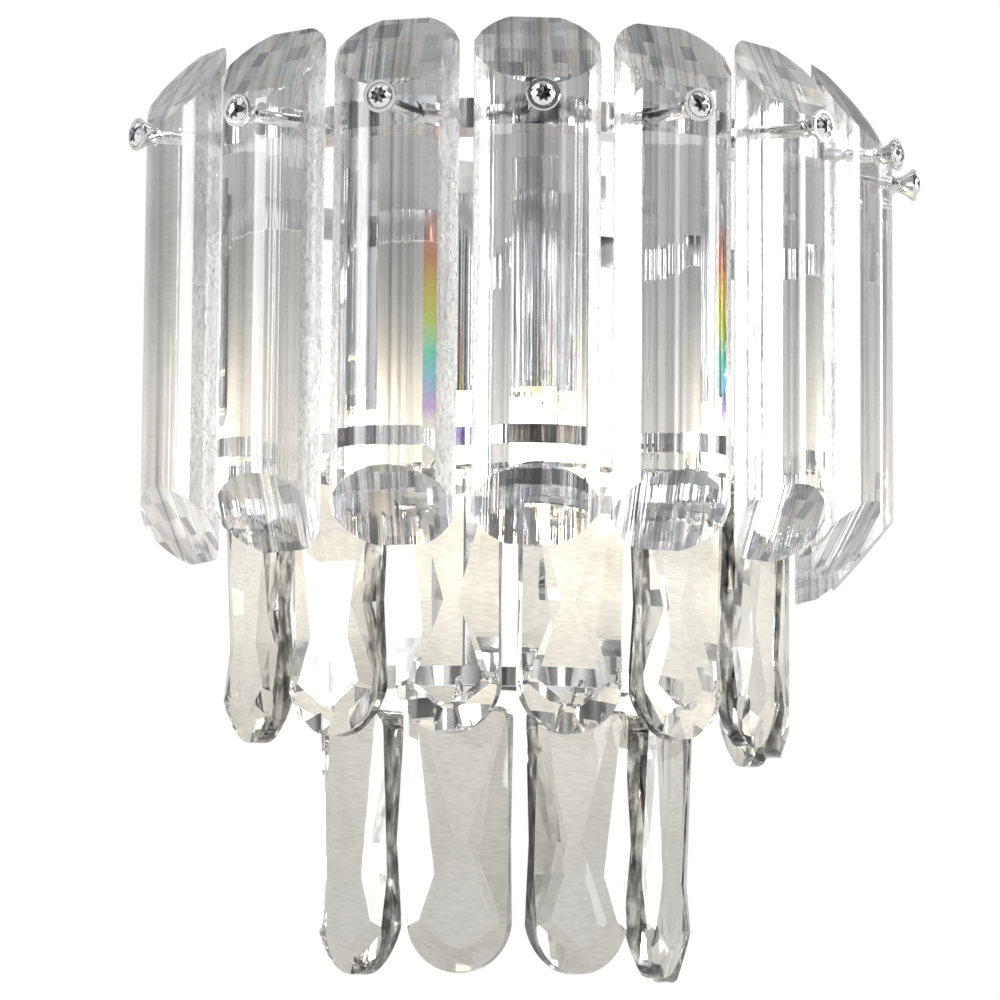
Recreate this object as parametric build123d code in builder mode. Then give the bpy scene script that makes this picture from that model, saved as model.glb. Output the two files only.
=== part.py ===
from build123d import *
import os

os.makedirs("parts", exist_ok=True)

# ---------------------------------------------------------------------------
# Three-tier crystal wall light. Millimetres, +Z up, the wall is the plane
# y = 0, the light stands out towards -Y, +X is to the viewer's right.
# The origin is the middle of the back face of the wall canopy.
# ---------------------------------------------------------------------------

# common ring axis (vertical), where all three half rings are centred
RING_Y = -20.0

# wall canopy and bracket
CANOPY_W, CANOPY_H, CANOPY_D, CANOPY_T = 35.0, 90.0, 18.5, 1.2
BRACKET_W, BRACKET_H, BRACKET_T = 26.0, 82.0, 1.5
WALL_HOLE_D, WALL_HOLE_Z = 4.5, 34.0          # two wall screws, 68 mm apart
STUD_D, STUD_Z_HIGH, STUD_Z_LOW = 4.0, 20.0, -24.0
CABLE_BORE_D, CABLE_Z = 6.5, 8.0
EARTH_X, EARTH_Z = 9.6, 8.0

# back frame: flat strips standing in the plane of the ring axis
STRIP_BACK, STRIP_T = -18.5, 2.0              # rear face and thickness
STRIP_FRONT = STRIP_BACK - STRIP_T
UPRIGHT_X, UPRIGHT_W = 12.0, 5.5

# top tier
TOP_R, TOP_T = 127.0, 1.2                     # band outer radius, thickness
TOP_Z0, TOP_Z1 = 37.75, 48.75
TOP_FLANGE_R = 111.0
BACKBAR_Z0, BACKBAR_Z1 = 14.0, 26.0
BOLT_Z = 43.25
BAR_THETAS = [-84.4 + 21.1 * i for i in range(9)]
BAR_BACK_R, BAR_FRONT_R = 128.0, 151.0
BAR_Z0, BAR_L = -114.4, 192.9
BAR_CUT, BAR_CUT_TOP = 26.8, 30.4            # fall of the oblique end cuts over 23 mm
BAR_HOLE_D = 5.3

# middle tier
MID_R, MID_T = 105.7, 2.0
MID_Z0, MID_Z1 = -75.3, -68.3
MID_BAR_Z0, MID_BAR_Z1 = -80.6, -73.6
MID_THETAS = [-84.28 + 24.08 * i for i in range(8)]
MID_HINGE_Z = -72.6

# lower tier
LOW_R, LOW_T = 67.2, 2.0
LOW_Z0, LOW_Z1 = -159.3, -152.3
LOW_BAR_Z0, LOW_BAR_Z1 = -154.3, -147.3
LOW_THETAS = [-76.34 + 38.17 * i for i in range(5)]
LOW_HINGE_Z = -157.3
HINGE_HOLE_D = 2.2

# hanging plates and their wire loops, measured from the hinge line
PLATE_W, PLATE_H, PLATE_T = 37.3, 97.3, 12.5
PLATE_TOP = -10.2
PLATE_EYE_Z = -15.4
PLATE_EYE_D = 2.0
WIRE_D, BEAD_D = 1.2, 2.3

# lamps
ARM_Z0, ARM_Z1 = 32.5, 44.8
ARM_T = 1.2
ARM_HEAD_X, ARM_HEAD_Y = 33.0, -43.5
ARM_TONGUE_X, ARM_TONGUE_Y = 9.5, -59.8
LAMP_XY = [(-23.4, -33.7), (23.4, -33.7), (0.0, -50.0)]
LEAD_SIDE = [(0.0, 1.2), (0.0, 1.2), (1.2, 0.0)]   # each lead's offset at its lamp
SLEEVE_D, SLEEVE_T, SLEEVE_Z0 = 16.0, 0.8, -43.5


def bearing(theta, z=0.0):
    """Turn something made in front of the ring axis to bearing theta."""
    return Location((0, RING_Y, z), (0, 0, theta))


# ------------------------------------------------------------------ wall side
with BuildPart() as wall_bracket:
    with BuildSketch(Plane.XZ):
        RectangleRounded(BRACKET_W, BRACKET_H, 3)
        with Locations((0, WALL_HOLE_Z), (0, -WALL_HOLE_Z)):
            Circle(WALL_HOLE_D / 2, mode=Mode.SUBTRACT)
        with Locations((0, STUD_Z_HIGH), (0, STUD_Z_LOW)):
            Circle(STUD_D / 2, mode=Mode.SUBTRACT)
        with Locations((0, CABLE_Z)):
            Circle(4.75, mode=Mode.SUBTRACT)
        with Locations((EARTH_X, EARTH_Z)):
            Circle(1.75, mode=Mode.SUBTRACT)
    extrude(amount=BRACKET_T)
wall_bracket.part.label = "wall_bracket"
export_step(wall_bracket.part, "parts/wall_bracket.step")

# studs with their nuts, and the earth screw
with BuildPart() as bracket_fixings:
    with BuildSketch(Plane.XZ):
        with Locations((0, STUD_Z_HIGH)):
            Circle(STUD_D / 2)
    extrude(amount=25.5)
    with BuildSketch(Plane.XZ):
        with Locations((0, STUD_Z_LOW)):
            Circle(STUD_D / 2)
    extrude(amount=23.5)
    with BuildSketch(Plane.XZ.offset(BRACKET_T)):
        with Locations((0, STUD_Z_HIGH), (0, STUD_Z_LOW)):
            RegularPolygon(4.0, 6)
            Circle(STUD_D / 2 - 0.2, mode=Mode.SUBTRACT)
    extrude(amount=2.4)
    with BuildSketch(Plane.XZ):
        with Locations((EARTH_X, EARTH_Z)):
            Circle(1.75)
    extrude(amount=BRACKET_T)
    with BuildSketch(Plane.XZ.offset(BRACKET_T)):
        with Locations((EARTH_X, EARTH_Z)):
            Circle(3.2)
    extrude(amount=0.8)
    with BuildSketch(Plane.XZ.offset(BRACKET_T + 0.8)):
        with Locations((EARTH_X, EARTH_Z)):
            Circle(2.7)
            Rectangle(4.2, 0.8, mode=Mode.SUBTRACT)
    extrude(amount=2.0)
bracket_fixings.part.label = "bracket_fixings"
export_step(bracket_fixings.part, "parts/bracket_fixings.step")

with BuildPart() as cable_grommet:
    with BuildSketch(Plane.XZ):
        with Locations((0, CABLE_Z)):
            Circle(4.75)
    extrude(amount=BRACKET_T)
    with BuildSketch(Plane.XZ.offset(BRACKET_T)):
        with Locations((0, CABLE_Z)):
            Circle(6.0)
    extrude(amount=2.0)
    fillet(cable_grommet.faces().sort_by(Axis.Y)[0].edges(), 0.7)
    with BuildSketch(Plane.XZ):
        with Locations((0, CABLE_Z)):
            Circle(CABLE_BORE_D / 2)
    extrude(amount=5, mode=Mode.SUBTRACT)
cable_grommet.part.label = "cable_grommet"
export_step(cable_grommet.part, "parts/cable_grommet.step")

with BuildPart() as canopy_box:
    with BuildSketch(Plane.XZ):
        RectangleRounded(CANOPY_W, CANOPY_H, 3)
    extrude(amount=CANOPY_D)
    fillet(canopy_box.faces().sort_by(Axis.Y)[0].edges(), 1.0)
    with BuildSketch(Plane.XZ):
        RectangleRounded(CANOPY_W - 2 * CANOPY_T, CANOPY_H - 2 * CANOPY_T, 2)
    extrude(amount=CANOPY_D - CANOPY_T, mode=Mode.SUBTRACT)
    with BuildSketch(Plane.XZ.offset(CANOPY_D - 3)):
        with Locations((0, STUD_Z_HIGH), (0, STUD_Z_LOW)):
            Circle(STUD_D / 2 + 0.15)
        with Locations((0, 38.0)):
            Circle(4.0)
        with Locations((-12.0, 38.0), (12.0, 38.0)):
            Circle(1.5)
    extrude(amount=5, mode=Mode.SUBTRACT)
canopy_box.part.label = "canopy_box"
export_step(canopy_box.part, "parts/canopy_box.step")

with BuildPart() as terminal_block:
    with Locations((0, -BRACKET_T - 4.75, -7.0)):
        Box(21.0, 9.5, 12.0)
    fillet(terminal_block.edges().filter_by(Axis.Y), 1.0)
    with BuildSketch(Plane.XZ.offset(BRACKET_T + 9.5)):
        with Locations(*[(x, z) for x in (-7.2, 0, 7.2) for z in (-4.2, -9.8)]):
            Circle(1.5)
    extrude(amount=-2.2, mode=Mode.SUBTRACT)
    with Locations((-3.6, -BRACKET_T - 9.5, -7.0), (3.6, -BRACKET_T - 9.5, -7.0)):
        Box(0.8, 3.0, 12.0, mode=Mode.SUBTRACT)
    with BuildSketch(Plane.XY.offset(-13.0)):
        with Locations((-7.2, -6.6), (0, -6.6), (7.2, -6.6)):
            Circle(1.3)
    extrude(amount=4.0, mode=Mode.SUBTRACT)
terminal_block.part.label = "terminal_block"
export_step(terminal_block.part, "parts/terminal_block.step")

# ------------------------------------------------------------------ back frame
with BuildPart() as back_bar:
    with BuildSketch(Plane.XZ.offset(-STRIP_BACK)):
        with Locations((0, (BACKBAR_Z0 + BACKBAR_Z1) / 2)):
            Rectangle(2 * TOP_R, BACKBAR_Z1 - BACKBAR_Z0)
        with Locations((TOP_R - 3.5, (BACKBAR_Z0 + TOP_Z1) / 2),
                       (3.5 - TOP_R, (BACKBAR_Z0 + TOP_Z1) / 2)):
            Rectangle(7.0, TOP_Z1 - BACKBAR_Z0)
        with Locations((0, STUD_Z_HIGH)):
            Circle(STUD_D / 2 + 0.15, mode=Mode.SUBTRACT)
        with Locations((-UPRIGHT_X, STUD_Z_HIGH), (UPRIGHT_X, STUD_Z_HIGH)):
            Circle(1.5, mode=Mode.SUBTRACT)
    extrude(amount=STRIP_T)
back_bar.part.label = "back_bar"
export_step(back_bar.part, "parts/back_bar.step")

MID_RIVET_Z = (MID_BAR_Z0 + MID_BAR_Z1) / 2
LOW_RIVET_Z = (LOW_BAR_Z0 + LOW_BAR_Z1) / 2

with BuildPart() as spine_uprights:
    with BuildSketch(Plane.XZ.offset(-STRIP_FRONT)):
        for sx in (-1, 1):
            with Locations((sx * UPRIGHT_X, (LOW_BAR_Z0 + BACKBAR_Z1) / 2)):
                Rectangle(UPRIGHT_W, BACKBAR_Z1 - LOW_BAR_Z0)
            with Locations((sx * UPRIGHT_X, STUD_Z_HIGH),
                           (sx * UPRIGHT_X, MID_RIVET_Z),
                           (sx * UPRIGHT_X, LOW_RIVET_Z)):
                Circle(1.5, mode=Mode.SUBTRACT)
    extrude(amount=STRIP_T)
spine_uprights.part.label = "spine_uprights"
export_step(spine_uprights.part, "parts/spine_uprights.step")

with BuildPart() as ring_crossbars:
    with BuildSketch(Plane.XZ.offset(-STRIP_BACK)):
        with Locations((0, MID_RIVET_Z)):
            Rectangle(2 * MID_R, MID_BAR_Z1 - MID_BAR_Z0)
        with Locations((MID_R - 3, (MID_BAR_Z0 + MID_Z1) / 2),
                       (3 - MID_R, (MID_BAR_Z0 + MID_Z1) / 2)):
            Rectangle(6.0, MID_Z1 - MID_BAR_Z0)
        with Locations((0, LOW_RIVET_Z)):
            Rectangle(2 * LOW_R, LOW_BAR_Z1 - LOW_BAR_Z0)
        with Locations((LOW_R - 3, (LOW_Z0 + LOW_BAR_Z1) / 2),
                       (3 - LOW_R, (LOW_Z0 + LOW_BAR_Z1) / 2)):
            Rectangle(6.0, LOW_BAR_Z1 - LOW_Z0)
        with Locations(*[(sx * UPRIGHT_X, z) for sx in (-1, 1)
                         for z in (MID_RIVET_Z, LOW_RIVET_Z)]):
            Circle(1.5, mode=Mode.SUBTRACT)
    extrude(amount=STRIP_T)
ring_crossbars.part.label = "ring_crossbars"
export_step(ring_crossbars.part, "parts/ring_crossbars.step")

# rivets, and domed cap nuts on the back bar and on the canopy's face
with BuildPart() as frame_fixings:
    for z in (STUD_Z_HIGH, MID_RIVET_Z, LOW_RIVET_Z):
        for sx in (-1, 1):
            with BuildSketch(Plane.XZ.offset(-STRIP_BACK)):
                with Locations((sx * UPRIGHT_X, z)):
                    Circle(1.5)
            extrude(amount=2 * STRIP_T)
            with BuildSketch(Plane.XZ.offset(-STRIP_FRONT + STRIP_T)):
                with Locations((sx * UPRIGHT_X, z)):
                    Circle(2.6)
            extrude(amount=1.5, taper=30)
    for z, y0 in ((STUD_Z_HIGH, STRIP_FRONT), (STUD_Z_LOW, -CANOPY_D)):
        with BuildSketch(Plane.XY.offset(z)):
            with BuildLine():
                Polyline((STUD_D / 2 + 0.02, y0), (4.4, y0), (4.4, y0 - 0.9),
                         (3.7, y0 - 1.2), (3.7, y0 - 4.5))
                CenterArc((0, y0 - 4.5), 3.7, 0, -90)
                Polyline((0, y0 - 8.2), (0, y0 - 6.2),
                         (STUD_D / 2 + 0.02, y0 - 6.2), (STUD_D / 2 + 0.02, y0))
            make_face()
        revolve(axis=Axis((0, 0, z), (0, 1, 0)))
frame_fixings.part.label = "frame_fixings"
export_step(frame_fixings.part, "parts/frame_fixings.step")


def half_ring(radius, inner, z0):
    """Plan of the front half of a band or flange round the ring axis."""
    with BuildSketch(Plane.XY.offset(z0)) as plan:
        with Locations((0, RING_Y)):
            Circle(radius)
            Circle(inner, mode=Mode.SUBTRACT)
        with Locations((0, STRIP_FRONT - radius / 2)):
            Rectangle(2 * radius + 2, radius, mode=Mode.INTERSECT)
    return plan.sketch


with BuildPart() as top_ring:
    extrude(half_ring(TOP_R, TOP_R - TOP_T, TOP_Z0), amount=TOP_Z1 - TOP_Z0)
    extrude(half_ring(TOP_R - 0.3, TOP_FLANGE_R, TOP_Z0), amount=1.2)
    for theta in BAR_THETAS:
        with Locations(bearing(theta, BOLT_Z) * Location((0, -TOP_R, 0), (90, 0, 0))):
            Cylinder(1.6, 8, mode=Mode.SUBTRACT)
top_ring.part.label = "top_ring"
export_step(top_ring.part, "parts/top_ring.step")

with BuildPart() as mid_ring:
    extrude(half_ring(MID_R, MID_R - MID_T, MID_Z0), amount=MID_Z1 - MID_Z0)
    for theta in MID_THETAS:
        with Locations(bearing(theta, MID_HINGE_Z) * Location((0, -MID_R, 0), (90, 0, 0))):
            Cylinder(HINGE_HOLE_D / 2, 10, mode=Mode.SUBTRACT)
mid_ring.part.label = "mid_ring"
export_step(mid_ring.part, "parts/mid_ring.step")

with BuildPart() as lower_ring:
    extrude(half_ring(LOW_R, LOW_R - LOW_T, LOW_Z0), amount=LOW_Z1 - LOW_Z0)
    for theta in LOW_THETAS:
        with Locations(bearing(theta, LOW_HINGE_Z) * Location((0, -LOW_R, 0), (90, 0, 0))):
            Cylinder(HINGE_HOLE_D / 2, 10, mode=Mode.SUBTRACT)
lower_ring.part.label = "lower_ring"
export_step(lower_ring.part, "parts/lower_ring.step")

# ------------------------------------------------------------------ top crystals
# One bar: oblong section with a smooth convex front, rough-ground narrow sides
# and a shallow faceted back, cut obliquely at both ends.
with BuildPart() as bar_blank:
    with BuildSketch(Plane.XY.offset(BAR_Z0)):
        with BuildLine():
            Polyline((19.0, -145.4), (22.8, -142.0), (22.8, -137.0),
                     (19.6, -133.6), (15.6, -131.0), (11.2, -129.2),
                     (6.5, -BAR_BACK_R), (-6.5, -BAR_BACK_R), (-11.2, -129.2),
                     (-15.6, -131.0), (-19.6, -133.6), (-22.8, -137.0),
                     (-22.8, -142.0), (-19.0, -145.4))
            ThreePointArc((-19.0, -145.4), (0, -BAR_FRONT_R), (19.0, -145.4))
        make_face()
    extrude(amount=BAR_L)
    split(bisect_by=Plane(origin=(0, -BAR_BACK_R - 0.6, BAR_Z0 + BAR_L),
                          x_dir=(1, 0, 0), z_dir=(0, -BAR_CUT_TOP, 23.0)),
          keep=Keep.BOTTOM)
    split(bisect_by=Plane(origin=(0, -BAR_BACK_R - 0.6, BAR_Z0),
                          x_dir=(1, 0, 0), z_dir=(0, -BAR_CUT, -23.0)),
          keep=Keep.BOTTOM)
    with Locations(Location((0, -BAR_FRONT_R, BOLT_Z), (90, 0, 0))):
        Cylinder(BAR_HOLE_D / 2, 60, mode=Mode.SUBTRACT)

for i, theta in enumerate(BAR_THETAS):
    with BuildPart() as crystal_bar:
        with Locations(bearing(theta)):
            add(bar_blank.part)
    crystal_bar.part.label = f"crystal_bar_{i + 1}"
    export_step(crystal_bar.part, f"parts/crystal_bar_{i + 1}.step")

# bolt: pan head inside the band, shank through band, bush and cap
with BuildPart() as bolt_blank:
    with BuildSketch(Plane.XZ.offset(123.6)):
        with Locations((0, BOLT_Z)):
            Circle(2.75)
            Rectangle(4.4, 0.8, mode=Mode.SUBTRACT)
    extrude(amount=1.6)
    with BuildSketch(Plane.XZ.offset(125.2)):
        with Locations((0, BOLT_Z)):
            Circle(2.75)
    extrude(amount=0.55)
    with BuildSketch(Plane.XZ.offset(125.75)):
        with Locations((0, BOLT_Z)):
            Circle(1.5)
    extrude(amount=29.2)

with BuildPart() as bar_bolts:
    for theta in BAR_THETAS:
        with Locations(bearing(theta)):
            add(bolt_blank.part)
bar_bolts.part.label = "bar_bolts"
export_step(bar_bolts.part, "parts/bar_bolts.step")

# flanged bush: seat pad between band and crystal, tube through the crystal
with BuildPart() as bush_blank:
    with BuildSketch(Plane.XZ.offset(TOP_R + 0.02)):
        with Locations((0, BOLT_Z)):
            Circle(4.6)
    extrude(amount=BAR_BACK_R - TOP_R - 0.04)
    with BuildSketch(Plane.XZ.offset(BAR_BACK_R - 0.05)):
        with Locations((0, BOLT_Z)):
            Circle(2.5)
    extrude(amount=BAR_FRONT_R - BAR_BACK_R)
    with BuildSketch(Plane.XZ.offset(TOP_R)):
        with Locations((0, BOLT_Z)):
            Circle(1.6)
    extrude(amount=30, mode=Mode.SUBTRACT)

with BuildPart() as bar_bushes:
    for theta in BAR_THETAS:
        with Locations(bearing(theta)):
            add(bush_blank.part)
bar_bushes.part.label = "bar_bushes"
export_step(bar_bushes.part, "parts/bar_bushes.step")

# bell-shaped cap nut with a cup for its stone
with BuildPart() as cap_blank:
    with BuildSketch(Plane.XY.offset(BOLT_Z)):
        with BuildLine():
            Polyline((1.5, -151.05), (3.5, -151.05), (3.5, -151.75), (2.85, -152.2))
            Spline((2.85, -152.2), (2.95, -153.6), (4.1, -156.2), (6.1, -158.9),
                   tangents=((0, -1), (1, -1.15)))
            Polyline((6.1, -158.9), (6.1, -159.8), (5.7, -160.2), (4.9, -160.2),
                     (4.65, -159.8), (4.65, -158.5), (0, -158.5), (0, -155.4),
                     (1.5, -155.4), (1.5, -151.05))
        make_face()
    revolve(axis=Axis((0, 0, BOLT_Z), (0, 1, 0)))

with BuildPart() as bar_cap_nuts:
    for theta in BAR_THETAS:
        with Locations(bearing(theta)):
            add(cap_blank.part)
bar_cap_nuts.part.label = "bar_cap_nuts"
export_step(bar_cap_nuts.part, "parts/bar_cap_nuts.step")

# cut stone pressed into each cap
with BuildPart() as stone_blank:
    with BuildSketch(Plane.XZ.offset(158.5)):
        with Locations((0, BOLT_Z)):
            RegularPolygon(4.6, 12)
    extrude(amount=1.3)
    with BuildSketch(Plane.XZ.offset(159.8)):
        with Locations((0, BOLT_Z)):
            RegularPolygon(4.6, 12)
    extrude(amount=1.1, taper=30)
    with BuildSketch(Plane.XZ.offset(160.9)):
        with Locations((0, BOLT_Z)):
            RegularPolygon(4.6 - 1.1 * 0.5774, 12)
    extrude(amount=0.8, taper=62)

with BuildPart() as bar_stones:
    for theta in BAR_THETAS:
        with Locations(bearing(theta)):
            add(stone_blank.part)
bar_stones.part.label = "bar_stones"
export_step(bar_stones.part, "parts/bar_stones.step")

# ------------------------------------------------------------------ hanging plates
# Square top with rounded corners, half-round bottom. Each face carries an
# hourglass of flat glass between slanted side facets, and a fan of facets at
# its foot. The back's hourglass is pinched almost to a point, higher up than
# the front's, so the crossings show through each other.
HALF_T = PLATE_T / 2
HALF_W = PLATE_W / 2
Z_BACK_WAIST = PLATE_TOP - 0.50 * PLATE_H
Z_FRONT_WAIST = PLATE_TOP - 0.63 * PLATE_H
Z_FOOT = PLATE_TOP - PLATE_H + 13.0
Z_BOTTOM = PLATE_TOP - PLATE_H
WAIST_FRONT, WAIST_BACK = 8.2, 2.6
SHOULDER_HALF = 15.8
EDGE_AT_WAIST = 2.2


def facet_plane(p1, p2, p3, sx, sy):
    """Plane through three points, its normal away from the plate's middle."""
    n = (Vector(*p2) - Vector(*p1)).cross(Vector(*p3) - Vector(*p1))
    if n.X * sx + n.Y * sy < 0:
        n = n * -1
    return Plane(origin=p1, z_dir=n)


def plate_slice(z_high, z_low):
    """One horizontal slice of the plate, with the facets that cross it."""
    with BuildPart() as piece:
        with BuildSketch(Plane.XZ):
            with Locations((0, PLATE_TOP - (PLATE_H - HALF_W) / 2)):
                Rectangle(PLATE_W, PLATE_H - HALF_W)
            with Locations((0, Z_BOTTOM + HALF_W)):
                Circle(HALF_W)
            with Locations((0, (z_high + z_low) / 2)):
                Rectangle(PLATE_W + 2, z_high - z_low, mode=Mode.INTERSECT)
        extrude(amount=HALF_T, both=True)
        for sy in (-1, 1):
            waist = Z_FRONT_WAIST if sy < 0 else Z_BACK_WAIST
            waist_half = WAIST_FRONT if sy < 0 else WAIST_BACK
            above = (z_high + z_low) / 2 > waist
            end = PLATE_TOP if above else Z_FOOT
            for sx in (-1, 1):
                split(bisect_by=facet_plane(
                    (sx * SHOULDER_HALF, sy * HALF_T, end),
                    (sx * waist_half, sy * HALF_T, waist),
                    (sx * HALF_W, sy * EDGE_AT_WAIST, waist), sx, sy),
                    keep=Keep.BOTTOM)
                split(bisect_by=Plane(origin=(sx * HALF_W, sy * (HALF_T - 1.4), 0),
                                      z_dir=(sx * 1.4, sy * 2.6, 0)),
                      keep=Keep.BOTTOM)
            if z_low <= Z_BOTTOM:
                split(bisect_by=Plane(origin=(0, sy * HALF_T, Z_FOOT - 2.5),
                                      z_dir=(0, sy * 13.0, -4.2)),
                      keep=Keep.BOTTOM)
                for sx in (-1, 1):
                    split(bisect_by=Plane(origin=(sx * 4.5, sy * HALF_T, Z_FOOT - 1.0),
                                          z_dir=(sx * 2.6, sy * 13.0, -3.4)),
                          keep=Keep.BOTTOM)
            if z_high >= PLATE_TOP:
                split(bisect_by=Plane(origin=(0, sy * (HALF_T - 0.8), PLATE_TOP),
                                      z_dir=(0, sy * 1.0, 0.8)),
                      keep=Keep.BOTTOM)
    return piece.part


with BuildPart() as plate_blank:
    add(plate_slice(PLATE_TOP, Z_BACK_WAIST))
    add(plate_slice(Z_BACK_WAIST, Z_FRONT_WAIST))
    add(plate_slice(Z_FRONT_WAIST, Z_BOTTOM))
    # rounded top corners
    with BuildSketch(Plane.XZ.offset(-PLATE_T)):
        with Locations((0, PLATE_TOP - PLATE_H / 2)):
            RectangleRounded(PLATE_W, PLATE_H, 3.6)
    extrude(amount=2 * PLATE_T, mode=Mode.INTERSECT)
    # eye for the wire
    with Locations(Location((0, 0, PLATE_EYE_Z), (90, 0, 0))):
        Cylinder(PLATE_EYE_D / 2, 30, mode=Mode.SUBTRACT)

# closed loop of wire: through the ring's hole above, through the eye below
with BuildPart() as loop_blank:
    with BuildLine() as loop_path:
        FilletPolyline((0, 2.4, 0), (0, 7.7, -8.2), (0, 7.7, PLATE_EYE_Z),
                       (0, -7.7, PLATE_EYE_Z), (0, -7.7, -8.2), (0, -2.4, 0),
                       radius=1.3, close=True)
    with BuildSketch(Plane(origin=loop_path.line @ 0, z_dir=loop_path.line % 0)):
        Circle(WIRE_D / 2)
    sweep()
    # beads threaded on both legs
    for sy in (-1, 1):
        with Locations((0, sy * 5.3, -4.49), (0, sy * 7.1, -7.27),
                       (0, sy * 7.7, -10.1), (0, sy * 7.7, -12.9)):
            Sphere(BEAD_D / 2)

for i, theta in enumerate(MID_THETAS):
    spot = bearing(theta, MID_HINGE_Z) * Location((0, -(MID_R - MID_T / 2), 0))
    with BuildPart() as mid_plate:
        with Locations(spot):
            add(plate_blank.part)
    mid_plate.part.label = f"mid_plate_{i + 1}"
    export_step(mid_plate.part, f"parts/mid_plate_{i + 1}.step")
    with BuildPart() as mid_hook:
        with Locations(spot):
            add(loop_blank.part)
    mid_hook.part.label = f"mid_hook_{i + 1}"
    export_step(mid_hook.part, f"parts/mid_hook_{i + 1}.step")

for i, theta in enumerate(LOW_THETAS):
    spot = bearing(theta, LOW_HINGE_Z) * Location((0, -(LOW_R - LOW_T / 2), 0))
    with BuildPart() as lower_plate:
        with Locations(spot):
            add(plate_blank.part)
    lower_plate.part.label = f"lower_plate_{i + 1}"
    export_step(lower_plate.part, f"parts/lower_plate_{i + 1}.step")
    with BuildPart() as lower_hook:
        with Locations(spot):
            add(loop_blank.part)
    lower_hook.part.label = f"lower_hook_{i + 1}"
    export_step(lower_hook.part, f"parts/lower_hook_{i + 1}.step")

# ------------------------------------------------------------------ lamp group
def arm_plan(inset):
    """Plan of the lamp arm: a wide head at the wall, a tongue to the front lamp."""
    with BuildSketch(Plane.XY.offset(ARM_Z0)) as plan:
        with BuildLine():
            Polyline((-ARM_HEAD_X + inset, -CANOPY_D - inset),
                     (ARM_HEAD_X - inset, -CANOPY_D - inset),
                     (ARM_HEAD_X - inset, ARM_HEAD_Y + inset),
                     (ARM_TONGUE_X - inset, ARM_HEAD_Y + inset),
                     (ARM_TONGUE_X - inset, ARM_TONGUE_Y + inset),
                     (-ARM_TONGUE_X + inset, ARM_TONGUE_Y + inset),
                     (-ARM_TONGUE_X + inset, ARM_HEAD_Y + inset),
                     (-ARM_HEAD_X + inset, ARM_HEAD_Y + inset),
                     (-ARM_HEAD_X + inset, -CANOPY_D - inset))
        make_face()
        fillet(plan.vertices().group_by(Axis.Y)[0], 4.0 - inset)
    return plan.sketch


with BuildPart() as lamp_arm:
    extrude(arm_plan(0), amount=ARM_Z1 - ARM_Z0)
    extrude(arm_plan(ARM_T), amount=ARM_Z1 - ARM_Z0 - ARM_T, mode=Mode.SUBTRACT)
    with BuildSketch(Plane.XZ.offset(CANOPY_D - 1)):
        with Locations((0, 38.0)):
            Circle(4.0)
        with Locations((-12.0, 38.0), (12.0, 38.0)):
            Circle(1.5)
    extrude(amount=3, mode=Mode.SUBTRACT)
lamp_arm.part.label = "lamp_arm"
export_step(lamp_arm.part, "parts/lamp_arm.step")

LID_T = 1.2
LID_SCREWS = [(-9.8, -35.5), (9.8, -35.5)]
with BuildPart() as lamp_arm_lid:
    extrude(arm_plan(ARM_T + 0.05), amount=LID_T)
    with BuildSketch(Plane.XY.offset(ARM_Z0)):
        with Locations(*LAMP_XY):
            Circle(4.05)
        with Locations(*LID_SCREWS):
            Circle(1.5)
    extrude(amount=LID_T, mode=Mode.SUBTRACT)
lamp_arm_lid.part.label = "lamp_arm_lid"
export_step(lamp_arm_lid.part, "parts/lamp_arm_lid.step")

# two screws hold the arm to the canopy, two hold the lid up to the arm's roof
# and a nut under the arm's roof holds each sleeve
with BuildPart() as lamp_arm_fixings:
    for x in (-12.0, 12.0):
        with BuildSketch(Plane.XZ.offset(CANOPY_D - 5.0)):
            with Locations((x, 38.0)):
                Circle(1.5)
        extrude(amount=5.0 + ARM_T)
        with BuildSketch(Plane.XZ.offset(CANOPY_D + ARM_T)):
            with Locations((x, 38.0)):
                Circle(2.8)
                Rectangle(4.4, 0.8, mode=Mode.SUBTRACT)
        extrude(amount=1.8)
        with BuildSketch(Plane.XZ.offset(CANOPY_D - CANOPY_T - 2.4)):
            with Locations((x, 38.0)):
                RegularPolygon(2.9, 6)
                Circle(1.3, mode=Mode.SUBTRACT)
        extrude(amount=2.4)
    for x, y in LID_SCREWS:
        with BuildSketch(Plane.XY.offset(ARM_Z0)):
            with Locations((x, y)):
                Circle(1.5)
        extrude(amount=ARM_Z1 - ARM_T - ARM_Z0)
        with BuildSketch(Plane.XY.offset(ARM_Z0 - 1.6)):
            with Locations((x, y)):
                Circle(2.8)
                Rectangle(4.4, 0.8, mode=Mode.SUBTRACT)
        extrude(amount=1.0)
        with BuildSketch(Plane.XY.offset(ARM_Z0 - 0.6)):
            with Locations((x, y)):
                Circle(2.8)
        extrude(amount=0.6)
    with BuildSketch(Plane.XY.offset(ARM_Z0 + LID_T)):
        with Locations(*LAMP_XY):
            RegularPolygon(6.2, 6)
            Circle(4.02, mode=Mode.SUBTRACT)
    extrude(amount=3.0)
lamp_arm_fixings.part.label = "lamp_arm_fixings"
export_step(lamp_arm_fixings.part, "parts/lamp_arm_fixings.step")

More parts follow.
